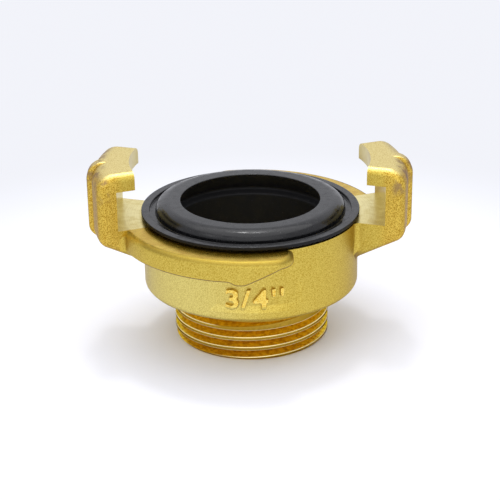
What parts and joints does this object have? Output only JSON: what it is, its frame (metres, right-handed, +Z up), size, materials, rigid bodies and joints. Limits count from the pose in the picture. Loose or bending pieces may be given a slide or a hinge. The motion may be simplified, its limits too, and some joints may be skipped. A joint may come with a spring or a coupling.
{
  "type": "air quick coupler",
  "caption": "Claw type quick coupler half in forged brass, with a male pipe thread, hook claws, cam ramps and a rubber lip seal.",
  "frame": {"origin": "centre of the threaded end, on the surface that the part stands on", "axes": "+Z up the waterway towards the seal, +X through the middle of one claw"},
  "size_m": [0.0544, 0.0446, 0.0312],
  "materials": {
    "forged_brass": "forged, with turned seats and thread",
    "rubber": "satin moulded"
  },
  "bodies": {
    "root": {"coupling_body": "forged_brass", "seal_ring": "rubber"}
  },
  "joints": []
}
